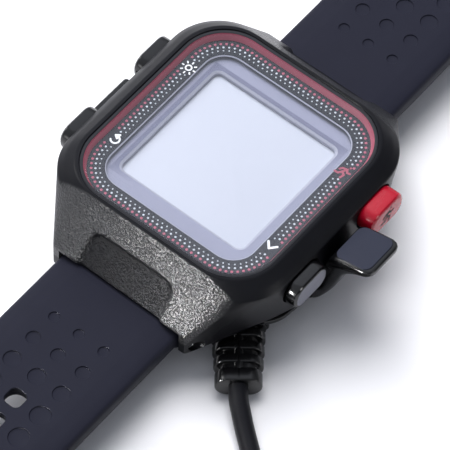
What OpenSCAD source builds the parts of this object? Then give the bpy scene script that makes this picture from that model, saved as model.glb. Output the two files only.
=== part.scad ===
// GPS running watch clamped in its charging clip.
// The clip stands on the plane z = 0. The origin is on that plane, under the middle of the display.
// +Y points to 12 o'clock on the dial, +X to 3 o'clock.

/* [Case] */
// Width of the case across its side walls
case_w = 43.6; // [43.4:0.1:45]
// Length of the case over its strap lugs
case_l = 53.4; // [53.2:0.1:55]
// Height of the case from its back to the top of its lens
case_h = 13.7; // [13.7:0.1:15.5]

/* [Lens and display] */
// Width of the lens
lens_w = 35.1; // [34.5:0.1:35.4]
// Length of the lens
lens_l = 37.8; // [37.2:0.1:38.1]
// Corner radius of the lens
lens_r = 7.5; // [6.8:0.1:8]
// Side of the square picture area
picture_w = 24; // [20:0.5:26]

/* [Buttons] */
// Distance of each button from the middle of the case
button_y = 9; // [8.9:0.1:9.3]
// Length of a button's face
button_l = 8; // [7:0.1:8.2]
// Height of a button's face
button_h = 5; // [4.4:0.1:5.2]
// Distance that a button can be pressed
button_travel = 0.7; // [0.3:0.05:0.75]
// How far a black button stands out of the side wall
button_proud = 1.8; // [1.2:0.1:2]
// How far the run button stands out of the side wall
run_proud = 2.6; // [1.4:0.1:2.8]

/* [Straps] */
// Width of both straps beside the case
strap_w = 23.2; // [22:0.1:23.3]
// Width of both straps at their far ends
strap_end_w = 20.6; // [19:0.1:21]
// Thickness of both straps beside the case
strap_t = 3.4; // [3.2:0.1:3.5]
// Distance from the middle of the case to the tip of the holed strap
strap_near_l = 146; // [140:1:150]
// Distance from the middle of the case to the buckle's pin
buckle_y = 106; // [105:1:110]
// Side of a buckle hole in the holed strap
hole_w = 3; // [2.6:0.1:3.2]
// Distance from one row of dimples or holes to the next
hole_pitch = 4.9; // [4.8:0.1:5]

/* [Charging clip] */
// Width of the clip's base
base_w = 41; // [40.8:0.1:41.4]
// Length of the clip's base
base_l = 31; // [30:0.2:33]
// Height of the clip's base, on which the case back rests
base_h = 5.2; // [5.2:0.1:6]
// Length of both jaws along the case
jaw_l = 8; // [6:0.1:8.2]

/* [Charging cord] */
// Diameter of the cord
cord_d = 3.1; // [2.8:0.1:3.1]
// Diameter of the stored coil at the middle of its turns
coil_d = 36; // [34:0.5:38]

/* [Hidden] */

$fn = 48;
cut = 1;        // how far a cutter runs past the face it opens
slack = 0.05;   // clearance between pieces that are assembled together

// Colours
moulded_black = "#1c1d20";
gloss_black = "#0c0c0f";
strap_black = "#262833";
accent_red = "#d3122e";
steel = "#b9bcc0";
gold = "#d5a94a";
board_green = "#1f5a3a";

// Heights of the case
back_z = base_h + 0.1;
top_z = back_z + case_h;
lip_z = top_z + 0.15;
lens_z = top_z - 1.35;
dial_z = lens_z - 0.55;
flange_z = dial_z - 0.5;
board_z = top_z - 6.1;
button_z = top_z - 5;
battery_z = back_z + 1.9;

// Case plan
wall_x = case_w / 2;
lug_y = case_l / 2;
lug_x = 13.1;
lug_wall = 1.15;
lug_top_z = back_z + 5.3;
lug_low_z = back_z + 0.4;
shoulder_y = (lug_y + 16.9) / 2;
shoulder_z = top_z - 2;
slope_angle = atan2(shoulder_z - lug_top_z, lug_y - shoulder_y);
panel_w = 16;
panel_l = 6.2;
panel_depth = 0.45;
cavity = [37.6, 39.2];
lower_cavity = [33.6, 36.8];
back_plate = [35.8, 38.6];
back_r = 8;
ledge_z = back_z + 1.7;
screw_at = [14.6, 15.8];
window = [28.2, 30.6];

// Strap hinge
pin_y = lug_y - 1.8;
pin_z = back_z + 2;
pin_r = 0.75;
barrel_r = 2.35;
strap_top_z = pin_z + 2.4;
slot_top_z = pin_z + 2.7;

// Button parts
head_x = wall_x - 0.7;
pocket_x = head_x - button_travel - 0.1;
wall_in_x = cavity[0] / 2;
stem_r = 1;
stem_end_x = wall_in_x - 1;

// Clip
lever_pin_x = 18.6;
lever_pin_z = 2.9;
lever_pin_r = 0.8;
contact_x = [-4.2, -1.4, 1.4, 4.2];
contact_y = -9;
contact_z = back_z + 0.02;
cover_h = 1.2;
clip_screw_at = [[-16, -11], [-16, 11], [11.6, -11], [11.6, 11]];
relief_end = [22.1, -24.4, 2.7];
relief_turn = -51;
relief_l = 11;

// Buckle
buckle_z = 2.4;
buckle_pin_r = 0.8;
buckle_reach = 13;
tail_t = 2.8;
tail_low_z = 1.6;
keeper_t = 1.4;
keeper_room = 4.4;

// The cord's centre line, from the strain relief to the coil and from the coil to the plug
cord_route = [
    [22.1, -24.4, 2.7], [23.4, -26, 2.7], [25, -27.4, 2.4], [27.2, -29.2, 1.9], [30, -31.4, 1.6],
    [33.4, -34.3, 1.6], [37.2, -37.6, 1.6], [41, -41.2, 1.6], [44.8, -45, 1.6], [48.6, -49.1, 1.6],
    [52.3, -53.5, 1.6], [56, -58, 1.6]];
coil_at = [39.8, -71.6];
tail_route = [
    [60.9, -71.6, 7.8], [61.1, -76, 7.6], [61.3, -80, 6.9], [61.5, -84, 5.9], [61.6, -88, 4.7],
    [61.6, -92, 4], [61.6, -96, 4]];
plug_at = [61.6, -96, 4];

// ---------- shapes that repeat ----------

// Flat outline of a rectangle with round corners, centred
module round_rect(size, r) {
    square([size[0] - 2 * r, size[1]], center = true);
    square([size[0], size[1] - 2 * r], center = true);
    for (x = [-1, 1], y = [-1, 1])
        translate([x * (size[0] / 2 - r), y * (size[1] / 2 - r)])
            circle(r);
}

// Round-cornered plate from height low to height high
module plate(size, r, low, high) {
    translate([0, 0, low])
        linear_extrude(high - low)
            round_rect(size, r);
}

// Round-cornered ring from height low to height high
module ring_plate(size, r, wall, low, high) {
    difference() {
        plate(size, r, low, high);
        plate([size[0] - 2 * wall, size[1] - 2 * wall], r - wall, low - cut, high + cut);
    }
}

// Block from one corner to the opposite one
module block(low, high) {
    translate(low)
        cube(high - low);
}

// Cylinder along X between two places
module rod_x(r, from, to, y, z) {
    translate([from, y, z])
        rotate([0, 90, 0])
            cylinder(r = r, h = to - from);
}

// Cylinder along Y between two places
module rod_y(r, from, to, x, z) {
    translate([x, to, z])
        rotate([90, 0, 0])
            cylinder(r = r, h = to - from);
}

// Ring of round wire about the Z axis
module wire_ring(r, wire_r) {
    rotate_extrude()
        translate([r, 0])
            circle(wire_r, $fn = 16);
}

// Outline in the YZ plane, drawn out along X
module along_x(width) {
    rotate([90, 0, 90])
        linear_extrude(width, center = true)
            children();
}

// Outline in the XZ plane, drawn out along Y
module along_y(width) {
    rotate([90, 0, 0])
        linear_extrude(width, center = true)
            children();
}

// Shape repeated on the right and the left of the case
module both_sides() {
    for (side = [0, 1])
        mirror([side, 0, 0])
            children();
}

// Shape repeated at the two lug ends of the case
module both_ends() {
    for (end = [0, 1])
        mirror([0, end, 0])
            children();
}

// ---------- case ----------

// The case's outer skin: a rounded bezel that slopes down to the strap lugs at both ends
module case_skin() {
    hull() {
        plate([lens_w + 2.3, lens_l + 2.3], lens_r + 0.9, lip_z - 0.2, lip_z, $fn = 32);
        plate([40.8, 42], 9, top_z - 1.1, top_z - 1, $fn = 32);
        plate([42.8, shoulder_y * 2], 9.3, top_z - 2.8, shoulder_z, $fn = 32);
        translate([0, 0, back_z + 3.3])
            linear_extrude(lug_top_z - back_z - 3.3)
                polygon([
                    [wall_x, 10.6], [wall_x - 1.4, 14.4], [lug_x, lug_y],
                    [-lug_x, lug_y], [1.4 - wall_x, 14.4], [-wall_x, 10.6],
                    [-wall_x, -10.6], [1.4 - wall_x, -14.4], [-lug_x, -lug_y],
                    [lug_x, -lug_y], [wall_x - 1.4, -14.4], [wall_x, -10.6]]);
        block([-lug_x, -lug_y, lug_low_z], [lug_x, lug_y, lug_top_z]);
        plate([37.8, 40.6], 9, back_z, back_z + 0.2, $fn = 32);
    }
}

// Pocket for one button's head, with the bore for its stem and the groove for its seal
module button_cutter(y) {
    translate([pocket_x, y, button_z])
        rotate([90, 0, 90])
            linear_extrude(6)
                round_rect([button_l + 0.5, button_h + 0.5], 2.5);
    rod_x(stem_r + slack, wall_in_x - cut, pocket_x + cut, y, button_z);
    rod_x(1.85, wall_in_x + 0.3, pocket_x + cut, y, button_z);
}

// Shallow panel pressed into the slope above a strap, which also sets the edge over the strap back
module slope_panel() {
    translate([0, lug_y, lug_top_z])
        rotate([-slope_angle, 0, 0])
            translate([0, 0, -panel_depth])
                linear_extrude(3)
                    round_rect([panel_w, 2 * panel_l], 2.2);
    block([-panel_w / 2, lug_y - panel_depth, slot_top_z - cut], [panel_w / 2, lug_y + cut, lug_top_z + cut]);
}

module case_front() {
    color(moulded_black)
        difference() {
            case_skin();
            // Lens seat, dial seat and display opening
            plate([lens_w + 1.2, lens_l + 1.2], lens_r + 0.6, lens_z - 0.05, lip_z + cut);
            plate([lens_w - 0.2, lens_l - 0.2], lens_r - 0.1, dial_z, lens_z);
            plate([32, 34.6], 2, flange_z - cut, dial_z + cut);
            // Room inside, and the seat of the case back
            plate(cavity, 8, back_z + 6.5, flange_z);
            difference() {
                plate(lower_cavity, 7.4, back_z - cut, back_z + 6.6);
                for (x = [-1, 1], y = [-1, 1])
                    translate([x * screw_at[0], y * screw_at[1], ledge_z])
                        cylinder(r = 3, h = 5.8);
            }
            plate([back_plate[0] + 0.2, back_plate[1] + 0.2], back_r + 0.1, back_z - cut, ledge_z);
            for (x = [-1, 1], y = [-1, 1])
                translate([x * screw_at[0], y * screw_at[1], back_z])
                    cylinder(r = 0.82, h = 5.4);
            both_sides() {
                button_cutter(button_y);
                button_cutter(-button_y);
            }
            both_ends() {
                // Slot for the strap's end, and the bores of its pin
                block([lug_wall - lug_x, pin_y - 2.6, 0], [lug_x - lug_wall, lug_y + cut, slot_top_z]);
                rod_x(pin_r + slack, -lug_x - cut, lug_x + cut, pin_y, pin_z);
                both_sides()
                    rod_x(1.1, lug_x - 0.45, lug_x + cut, pin_y, pin_z);
                slope_panel();
            }
        }
}

module lens() {
    color("#dfe6ee", 0.35)
        plate([lens_w, lens_l], lens_r, lens_z, top_z);
}

module lens_gasket() {
    color(accent_red)
        ring_plate([lens_w + 1, lens_l + 1], lens_r + 0.5, 0.45, lens_z, top_z - 0.1);
}

module dial_ring() {
    color("#3c4150")
        difference() {
            plate([lens_w - 0.3, lens_l - 0.3], lens_r - 0.15, dial_z, lens_z - 0.03);
            plate(window, 4, dial_z - cut, lens_z + cut);
        }
}

module lcd_panel() {
    color("#a9abc2")
        plate([30.4, 32.8], 1.2, flange_z - 1, flange_z + 0.1);
}

module lcd_polariser() {
    color("#e0e6f4")
        plate([picture_w, picture_w], 0.3, flange_z + 0.1, flange_z + 0.2);
}

module backlight() {
    color("#e9edf0")
        plate([30.4, 32.8], 1.2, flange_z - 2.2, flange_z - 1.05);
}

module main_board() {
    color(board_green)
        plate([33, 36], 7, board_z, board_z + 1);
}

module gps_antenna() {
    color("#c9bda0")
        union() {
            block([-6.2, 5.8, board_z - 3.6], [6.2, 18, board_z - 0.3]);
            translate([0, 11.9, board_z - 0.35])
                cylinder(r = 0.6, h = 0.3);
        }
}

module battery() {
    color("#8f9499")
        translate([0, -5.5, battery_z])
            linear_extrude(4.4)
                round_rect([22, 21], 2);
}

module buzzer() {
    color("#55585c")
        translate([10.2, 9.4, board_z - 3])
            cylinder(r = 3.3, h = 2.9);
}

module tact_switches() {
    color("#d8d8d2")
        both_sides()
            both_ends()
                block([15.4, button_y - 1.8, board_z + 1], [16.5, button_y + 1.8, board_z + 2.5]);
}

module case_back() {
    color(moulded_black)
        difference() {
            plate(back_plate, back_r, back_z, back_z + 1.3);
            for (x = [-1, 1], y = [-1, 1])
                translate([x * screw_at[0], y * screw_at[1], back_z - cut]) {
                    cylinder(r = 0.85, h = 4);
                    cylinder(r = 1.5, h = cut + 0.7);
                }
            for (x = contact_x)
                translate([x, contact_y, back_z - cut])
                    cylinder(r = 0.95, h = 4);
        }
}

module back_seal() {
    color("#303034")
        difference() {
            ring_plate([35.6, 38.4], 7.9, 0.8, ledge_z - 0.38, ledge_z - 0.02);
            for (x = [-1, 1], y = [-1, 1])
                translate([x * screw_at[0], y * screw_at[1], ledge_z - cut])
                    cylinder(r = 1, h = 2);
        }
}

module back_screws() {
    color(steel)
        for (x = [-1, 1], y = [-1, 1])
            translate([x * screw_at[0], y * screw_at[1], back_z]) {
                translate([0, 0, 0.05])
                    difference() {
                        cylinder(r = 1.4, h = 0.6);
                        translate([0, 0, -cut])
                            cylinder(r = 0.6, h = cut + 0.35, $fn = 6);
                    }
                translate([0, 0, 0.6])
                    cylinder(r = 0.8, h = 4.6);
            }
}

module charge_contacts() {
    color(gold)
        for (x = contact_x)
            translate([x, contact_y, contact_z])
                cylinder(r = 0.9, h = 1.6);
}

// ---------- buttons ----------

// Push button whose face stands out by proud, pointing along +X
module button(y, proud) {
    translate([head_x, y, button_z])
        rotate([90, 0, 90])
            linear_extrude(wall_x + proud - head_x)
                round_rect([button_l, button_h], 2.2);
    difference() {
        rod_x(stem_r, stem_end_x, head_x + 0.1, y, button_z);
        difference() {
            rod_x(2, wall_in_x - 0.55, wall_in_x - 0.1, y, button_z);
            rod_x(0.7, wall_in_x - 0.6, wall_in_x, y, button_z);
        }
    }
}

// Spring clip in the groove at the inner end of a button's stem
module button_clip(y) {
    difference() {
        rod_x(1.8, wall_in_x - 0.5, wall_in_x - 0.15, y, button_z);
        rod_x(0.72, wall_in_x - cut, wall_in_x + cut, y, button_z);
        block([wall_in_x - cut, y - 0.55, button_z - 3], [wall_in_x + cut, y + 0.55, button_z]);
    }
}

module button_run() {
    color(accent_red)
        button(button_y, run_proud);
}

module button_scroll() {
    color(gloss_black)
        button(-button_y, button_proud);
}

module button_light() {
    color(gloss_black)
        mirror([1, 0, 0])
            button(button_y, button_proud);
}

module button_back() {
    color(gloss_black)
        mirror([1, 0, 0])
            button(-button_y, button_proud);
}

module clip_run() {
    color(steel)
        button_clip(button_y);
}

module clip_scroll() {
    color(steel)
        button_clip(-button_y);
}

module clip_light() {
    color(steel)
        mirror([1, 0, 0])
            button_clip(button_y);
}

module clip_back() {
    color(steel)
        mirror([1, 0, 0])
            button_clip(-button_y);
}

module button_seals() {
    color("#2b2b2e")
        both_sides()
            for (y = [-1, 1])
                translate([wall_in_x + 0.75, y * button_y, button_z])
                    rotate([0, 90, 0])
                        wire_ring(1.45, 0.35);
}

// ---------- straps ----------

// Smooth drop from 0 to fall between the distances from and to
function drop(s, from, to, fall) =
    s <= from ? 0 : s >= to ? fall : fall * (1 - cos(180 * (s - from) / (to - from))) / 2;

// Side outline of a strap: a band that leaves the case level and sinks to low_z between from and to
module strap_side(from, to, end, low_z, end_t) {
    fall = strap_top_z - strap_t - low_z;
    thin = strap_t - end_t;
    steps = 12;
    bend = [for (i = [0:steps]) from + (to - from) * i / steps];
    polygon([
        [pin_y - 0.8, pin_z + 2], [lug_y + 0.3, strap_top_z],
        for (s = bend) [s, strap_top_z - drop(s, from, to, fall + thin)],
        [end, low_z + end_t], [end, low_z],
        for (i = [steps:-1:0]) [bend[i], strap_top_z - strap_t - drop(bend[i], from, to, fall)],
        [lug_y + 0.3, strap_top_z - strap_t], [pin_y - 0.8, pin_z - 2]]);
}

// Strap with its round end on the pin, tapered in plan towards the far end
module strap_band(from, to, end, low_z, end_t, taper_end) {
    intersection() {
        union() {
            along_x(strap_w)
                strap_side(from, to, end, low_z, end_t);
            rod_x(barrel_r, -strap_w / 2, strap_w / 2, pin_y, pin_z);
        }
        linear_extrude(40, center = true)
            union() {
                polygon([
                    [strap_w / 2, 0], [strap_w / 2, 60], [strap_end_w / 2, 80], [strap_end_w / 2, taper_end],
                    [-strap_end_w / 2, taper_end], [-strap_end_w / 2, 80], [-strap_w / 2, 60], [-strap_w / 2, 0]]);
                translate([0, taper_end])
                    circle(r = end > taper_end ? end - taper_end : 0.1);
            }
    }
}

// Rows of shallow round dimples that grow with the distance from the case
module dimples(rows, columns) {
    for (i = rows, x = columns)
        translate([x * hole_pitch, 36 + i * hole_pitch, strap_top_z - 0.35])
            cylinder(d = min(1.8 + 0.55 * i, 3.4), h = 2);
}

// The holed strap at 6 o'clock
module strap_near() {
    tip_r = strap_end_w / 2;
    color(strap_black)
        mirror([0, 1, 0])
            difference() {
                strap_band(64, 90, strap_near_l, 0, 3, strap_near_l - tip_r);
                rod_x(pin_r + 0.07, -strap_w, strap_w, pin_y, pin_z);
                dimples([0:2], [-1, 0, 1]);
                dimples([3:4], [-1, 1]);
                for (i = [3:19])
                    translate([0, 36 + i * hole_pitch, -cut])
                        linear_extrude(20)
                            round_rect([hole_w, hole_w], 1);
            }
}

// The buckle strap at 12 o'clock
module strap_far() {
    end = buckle_y;
    color(strap_black)
        difference() {
            union() {
                strap_band(56, 80, end, tail_low_z, tail_t, end + 0.1);
                intersection() {
                    along_x(strap_end_w)
                        translate([buckle_y, buckle_z])
                            circle(2);
                    block([-20, 90, 0], [20, 120, 10]);
                }
            }
            rod_x(pin_r + 0.07, -strap_w, strap_w, pin_y, pin_z);
            rod_x(buckle_pin_r + 0.02, -strap_w, strap_w, buckle_y, buckle_z);
            dimples([0:3], [-1, 0, 1]);
            block([-1.6, buckle_y - 3.4, -cut], [1.6, buckle_y + 5, 10]);
        }
}

// Flat loop about the buckle strap, length along the strap
module keeper(y, length) {
    inner_w = strap_end_w + 1;
    inner_h = tail_low_z - keeper_t + tail_t + keeper_room;
    low = keeper_t;
    translate([0, y, 0])
        along_y(length)
            difference() {
                translate([0, (inner_h + low + keeper_t) / 2])
                    round_rect([inner_w + 2 * keeper_t, inner_h + low + keeper_t], 1.8);
                translate([0, low + inner_h / 2])
                    round_rect([inner_w, inner_h], 0.8);
            }
}

module keeper_fixed() {
    color(strap_black)
        keeper(buckle_y - 9, 4);
}

module keeper_free() {
    color(strap_black)
        keeper(buckle_y - 18, 4);
}

// ---------- strap pins and buckle ----------

// Pin through both lugs of one end of the case, with a round head in each lug
module strap_pin() {
    rod_x(pin_r, 0.4 - lug_x, lug_x - 0.4, pin_y, pin_z);
    both_sides()
        rod_x(1.05, lug_x - 0.42, lug_x, pin_y, pin_z);
}

module strap_pin_far() {
    color(steel)
        strap_pin();
}

module strap_pin_near() {
    color(steel)
        mirror([0, 1, 0])
            strap_pin();
}

module buckle_pin() {
    color(steel)
        rod_x(buckle_pin_r, -13.6, 13.6, buckle_y, buckle_z);
}

module buckle_frame() {
    color(steel)
        difference() {
            union() {
                both_sides()
                    block([11.2, buckle_y - 1.6, 1.1], [13.6, buckle_y + buckle_reach, 3.7]);
                rod_x(1.3, -13.6, 13.6, buckle_y + buckle_reach, buckle_z);
            }
            rod_x(buckle_pin_r + 0.05, -20, 20, buckle_y, buckle_z);
        }
}

module buckle_tongue() {
    color(steel)
        difference() {
            union() {
                rod_x(1.75, -1.2, 1.2, buckle_y, buckle_z);
                block([-1.1, buckle_y, 2.9], [1.1, buckle_y + 11.2, 4.1]);
                block([-1.1, buckle_y + 11, 3.9], [1.1, buckle_y + 14.6, 4.9]);
            }
            rod_x(buckle_pin_r + 0.06, -20, 20, buckle_y, buckle_z);
        }
}

// ---------- charging clip ----------

// Local frame of the strain relief: +X leads out along the cord from its end face
module at_relief() {
    translate(relief_end)
        rotate([0, 0, relief_turn])
            children();
}

// Room for the strain relief outside the clip's corner
module relief_room() {
    at_relief()
        translate([-relief_l, -5.2, -9])
            cube([30, 10.4, 18]);
}

// Section of the strain relief between two places on its axis
module relief_step(from, to, width, height, r) {
    translate([from, 0, 0])
        rotate([90, 0, 90])
            linear_extrude(to - from)
                round_rect([width, height], r);
}

module clip_base() {
    color(moulded_black)
        difference() {
            union() {
                plate([base_w, base_l], 6, cover_h, base_h);
                // Fixed jaw on the left
                along_y(jaw_l)
                    polygon([
                        [-19, cover_h], [-22.8, cover_h], [-24.3, 2.9], [-24.4, 12.2], [-23.9, 12.9],
                        [-22.5, 12.9], [-22.1, 12.3], [-22.1, 9.2], [-20.6, base_h], [-19, base_h]]);
                // Boss from which the cord's strain relief leaves
                intersection() {
                    at_relief()
                        relief_step(-relief_l - 9, -relief_l, 10.6, 9, 1.5);
                    block([-30, -30, cover_h], [30, 30, base_h]);
                }
            }
            // Room for the circuit board, with a post for each screw
            difference() {
                block([-18.4, -13.4, 0], [14.2, 13.4, 3.7]);
                for (p = clip_screw_at)
                    translate([p[0], p[1], 0])
                        cylinder(r = 2, h = 5);
            }
            for (p = clip_screw_at)
                translate([p[0], p[1], 0])
                    cylinder(r = 0.82, h = 3.5);
            block([-7.3, contact_y - 2.4, 0], [7.3, contact_y + 2.4, 9]);
            // Notch for the lever and the bore of its pin
            block([lever_pin_x - 2.3, -jaw_l / 2 - 0.35, 0], [30, jaw_l / 2 + 0.35, 9]);
            rod_y(lever_pin_r + 0.02, -7.6, 7.6, lever_pin_x, lever_pin_z);
            at_relief()
                relief_step(-relief_l - 3.1, -relief_l + cut, 7.7, 2.5, 1.1);
            relief_room();
        }
}

module clip_cover() {
    color(moulded_black)
        difference() {
            plate([base_w, base_l], 6, 0, cover_h - 0.02);
            block([lever_pin_x - 2.3, -jaw_l / 2 - 0.35, -cut], [30, jaw_l / 2 + 0.35, 9]);
            for (p = clip_screw_at)
                translate([p[0], p[1], -cut]) {
                    cylinder(r = 0.82, h = 4);
                    cylinder(r = 1.55, h = cut + 0.7);
                }
            relief_room();
        }
}

module clip_screws() {
    color(steel)
        for (p = clip_screw_at)
            translate([p[0], p[1], 0]) {
                translate([0, 0, 0.1])
                    difference() {
                        cylinder(r = 1.45, h = 0.58);
                        translate([0, 0, -cut])
                            cylinder(r = 0.6, h = cut + 0.35, $fn = 6);
                    }
                translate([0, 0, 0.6])
                    cylinder(r = 0.8, h = 2.8);
            }
}

module clip_board() {
    color(board_green)
        block([-9, contact_y - 3.8, cover_h + 0.05], [9, contact_y + 6.2, cover_h + 0.75]);
}

module contact_block() {
    color("#17181b")
        difference() {
            block([-7.2, contact_y - 2.3, cover_h + 0.8], [7.2, contact_y + 2.3, base_h - 0.02]);
            for (x = contact_x)
                translate([x, contact_y, 0])
                    cylinder(r = 0.87, h = 9);
        }
}

module contact_barrels() {
    color(gold)
        for (x = contact_x)
            translate([x, contact_y, cover_h + 0.8])
                difference() {
                    cylinder(r = 0.85, h = base_h - cover_h - 0.85);
                    translate([0, 0, 0.4])
                        cylinder(r = 0.55, h = 9);
                }
}

module contact_springs() {
    color(steel)
        for (x = contact_x, i = [0:2])
            translate([x, contact_y, cover_h + 1.35 + 0.3 * i])
                wire_ring(0.36, 0.1);
}

module contact_pins() {
    color(gold)
        for (x = contact_x)
            translate([x, contact_y, cover_h + 2.1])
                cylinder(r = 0.5, h = contact_z - cover_h - 2.15);
}

// Side outline of the lever: an arm that rises along the case wall from the hub, and a flared paddle
module lever_side() {
    polygon([
        [18, 4.6], [20.6, 5.05], [21.6, 6.4], [22.1, 8], [22.15, 13], [22.6, 15],
        [23.6, 16.5], [30.2, 18.2], [30.65, 17.9], [30.55, 17.1], [28.5, 16.2], [26.8, 14.9],
        [25.6, 13.4], [24.9, 11.2], [24.3, 9], [23.3, 6.6], [22.2, 4.3], [21, 2.2],
        [19.8, 1.45], [18, 1.2]]);
}

// Local frame of the paddle's sloping top face
module at_paddle() {
    translate([26.95, 0, 17.37])
        rotate([0, -14.4, 0])
            children();
}

module clip_lever() {
    color(gloss_black)
        difference() {
            intersection() {
                union() {
                    along_y(jaw_l)
                        lever_side();
                    rod_y(2, -jaw_l / 2, jaw_l / 2, lever_pin_x, lever_pin_z);
                }
                // Plan outline with the paddle's round outer corners
                linear_extrude(60, center = true)
                    union() {
                        translate([20, 0])
                            square([18, jaw_l], center = true);
                        translate([26, 0])
                            round_rect([9.4, jaw_l], 1.7);
                    }
            }
            rod_y(lever_pin_r + slack, -9, 9, lever_pin_x, lever_pin_z);
            // Room for the spring beside the hub
            block([lever_pin_x - 3, -5, 0], [lever_pin_x + 2.4, -2.2, 5.3]);
            at_paddle()
                translate([0, 0, -0.5])
                    linear_extrude(3)
                        round_rect([5.9, jaw_l - 1], 1.3);
        }
}

module lever_pad() {
    color("#454858")
        at_paddle()
            translate([0, 0, -0.48])
                linear_extrude(0.6)
                    round_rect([5.8, jaw_l - 1.1], 1.25);
}

module lever_pin() {
    color(steel)
        rod_y(lever_pin_r, -7.5, 7.5, lever_pin_x, lever_pin_z);
}

module lever_spring() {
    color(steel)
        union() {
            for (i = [0:2])
                translate([lever_pin_x, -4.05 + 0.55 * i, lever_pin_z])
                    rotate([90, 0, 0])
                        wire_ring(1.25, 0.24);
            rod_y(0.22, -4.05, -2.95, lever_pin_x - 1.25, lever_pin_z);
        }
}

// ---------- charging cord ----------

module strain_relief() {
    color(gloss_black)
        at_relief()
            union() {
                relief_step(-relief_l, 0, 6.2, 3.9, 1.9);
                relief_step(-relief_l - 3, -relief_l + 0.1, 7.6, 2.4, 1);
                relief_step(-relief_l, 0, 1.7, 4.6, 0.8);
                relief_step(-2.4, 0, 7.4, 4.6, 2.2);
                for (i = [0:2])
                    relief_step(-4.8 - 2.4 * i, -3.3 - 2.4 * i, 7.8 + 0.3 * i, 4.6, 2.2);
                relief_step(-relief_l, -relief_l + 0.4, 8.7, 4.6, 2.2);
            }
}

// Direction of a route at its point i
function heading(route, i) =
    let (a = route[max(i - 1, 0)], b = route[min(i + 1, len(route) - 1)]) (b - a) / norm(b - a);

// Round tube swept along a route
module tube(route, d) {
    sides = 8;
    last = len(route) - 1;
    corners = [for (i = [0:last], k = [0:sides - 1])
        let (t = heading(route, i), across = cross(t, [0, 0, 1]) / norm(cross(t, [0, 0, 1])),
            up = cross(across, t), a = 360 * (k + 0.5) / sides)
        route[i] + d / 2 * (cos(a) * across + sin(a) * up)];
    skin = [for (i = [0:last - 1], k = [0:sides - 1])
        [i * sides + k, (i + 1) * sides + k, (i + 1) * sides + (k + 1) % sides, i * sides + (k + 1) % sides]];
    start = [[for (k = [0:sides - 1]) k]];
    finish = [[for (k = [sides - 1:-1:0]) last * sides + k]];
    polyhedron(corners, concat(skin, start, finish));
}

module charge_cord() {
    color(gloss_black)
        tube(cord_route, cord_d);
}

module cord_tail() {
    color(gloss_black)
        tube(tail_route, cord_d);
}

// Stored coil: three turns wide and three turns high
module cord_coil() {
    color(gloss_black)
        translate([coil_at[0], coil_at[1], 0])
            rotate_extrude($fn = 96)
                translate([coil_d / 2, 1.5 * cord_d])
                    round_rect([3 * cord_d, 3 * cord_d], 1.2);
}

// ---------- plug ----------

// Local frame of the plug: +Y leads out of its nose, the cord enters at the origin
module at_plug() {
    translate(plug_at)
        rotate([0, 0, 180])
            children();
}

module usb_grip() {
    color(gloss_black)
        at_plug() {
            rotate([-90, 0, 0])
                cylinder(r1 = 2.3, r2 = 3.2, h = 8);
            difference() {
                translate([0, 8 + 11, 0])
                    rotate([90, 0, 0])
                        linear_extrude(22, center = true)
                            round_rect([14.6, 8], 2.4);
                translate([0, 26, 0])
                    rotate([90, 0, 0])
                        linear_extrude(8.2, center = true)
                            square([12.05, 4.55], center = true);
            }
        }
}

module usb_shell() {
    color(steel)
        at_plug()
            difference() {
                block([-6, 22, -2.25], [6, 42, 2.25]);
                block([-5.7, 21, -1.95], [5.7, 43, 1.95]);
                for (x = [-2.9, 2.9])
                    block([x - 1, 35, 1], [x + 1, 37.2, 4]);
            }
}

module usb_insert() {
    color("#e8e8ea")
        at_plug()
            block([-5.65, 22, -1.9], [5.65, 41.5, -0.1]);
}

case_front();
lens();
lens_gasket();
dial_ring();
lcd_panel();
lcd_polariser();
backlight();
main_board();
gps_antenna();
battery();
buzzer();
tact_switches();
case_back();
back_seal();
back_screws();
charge_contacts();
button_seals();
strap_pin_near();
strap_pin_far();
button_light();
button_back();
button_run();
button_scroll();
clip_light();
clip_back();
clip_run();
clip_scroll();
strap_near();
strap_far();
keeper_fixed();
keeper_free();
buckle_pin();
buckle_frame();
buckle_tongue();
clip_base();
clip_cover();
clip_screws();
clip_board();
contact_block();
contact_barrels();
contact_springs();
contact_pins();
clip_lever();
lever_pad();
lever_pin();
lever_spring();
strain_relief();
charge_cord();
cord_coil();
cord_tail();
usb_grip();
usb_shell();
usb_insert();
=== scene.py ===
"""GPS running watch in its charging clip, as it looks.

Lengths are in millimetres until a mesh is made. +Z is up, +Y points to 12 o'clock and +X to 3 o'clock.
"""

import math

import bmesh
import bpy
from mathutils import Matrix, Vector
from mathutils.bvhtree import BVHTree


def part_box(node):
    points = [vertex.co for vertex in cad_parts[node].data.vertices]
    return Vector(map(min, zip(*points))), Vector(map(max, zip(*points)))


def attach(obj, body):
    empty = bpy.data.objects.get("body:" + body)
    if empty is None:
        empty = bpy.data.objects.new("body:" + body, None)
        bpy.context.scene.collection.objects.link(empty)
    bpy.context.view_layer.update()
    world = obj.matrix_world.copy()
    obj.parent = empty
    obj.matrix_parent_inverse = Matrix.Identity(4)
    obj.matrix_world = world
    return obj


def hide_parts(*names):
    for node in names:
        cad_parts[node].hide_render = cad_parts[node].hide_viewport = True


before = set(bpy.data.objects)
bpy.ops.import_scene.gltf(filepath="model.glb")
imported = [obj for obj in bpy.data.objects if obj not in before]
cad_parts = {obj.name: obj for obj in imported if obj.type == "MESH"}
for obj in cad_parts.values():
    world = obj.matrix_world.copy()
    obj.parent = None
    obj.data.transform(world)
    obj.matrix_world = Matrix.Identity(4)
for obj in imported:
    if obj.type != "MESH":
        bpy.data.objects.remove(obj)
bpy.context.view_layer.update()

MM = 0.001
scene = bpy.context.scene
scene.view_settings.view_transform = "Standard"


# ---------- places that come from the frame ----------

def middle(node):
    """Middle of a CAD node's box"""
    low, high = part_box(node)
    return [round((a + b) / 2 / MM, 3) for a, b in zip(low, high)]


def size(node):
    """Width, length and height of a CAD node's box"""
    low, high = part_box(node)
    return [round((b - a) / MM, 3) for a, b in zip(low, high)]


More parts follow.
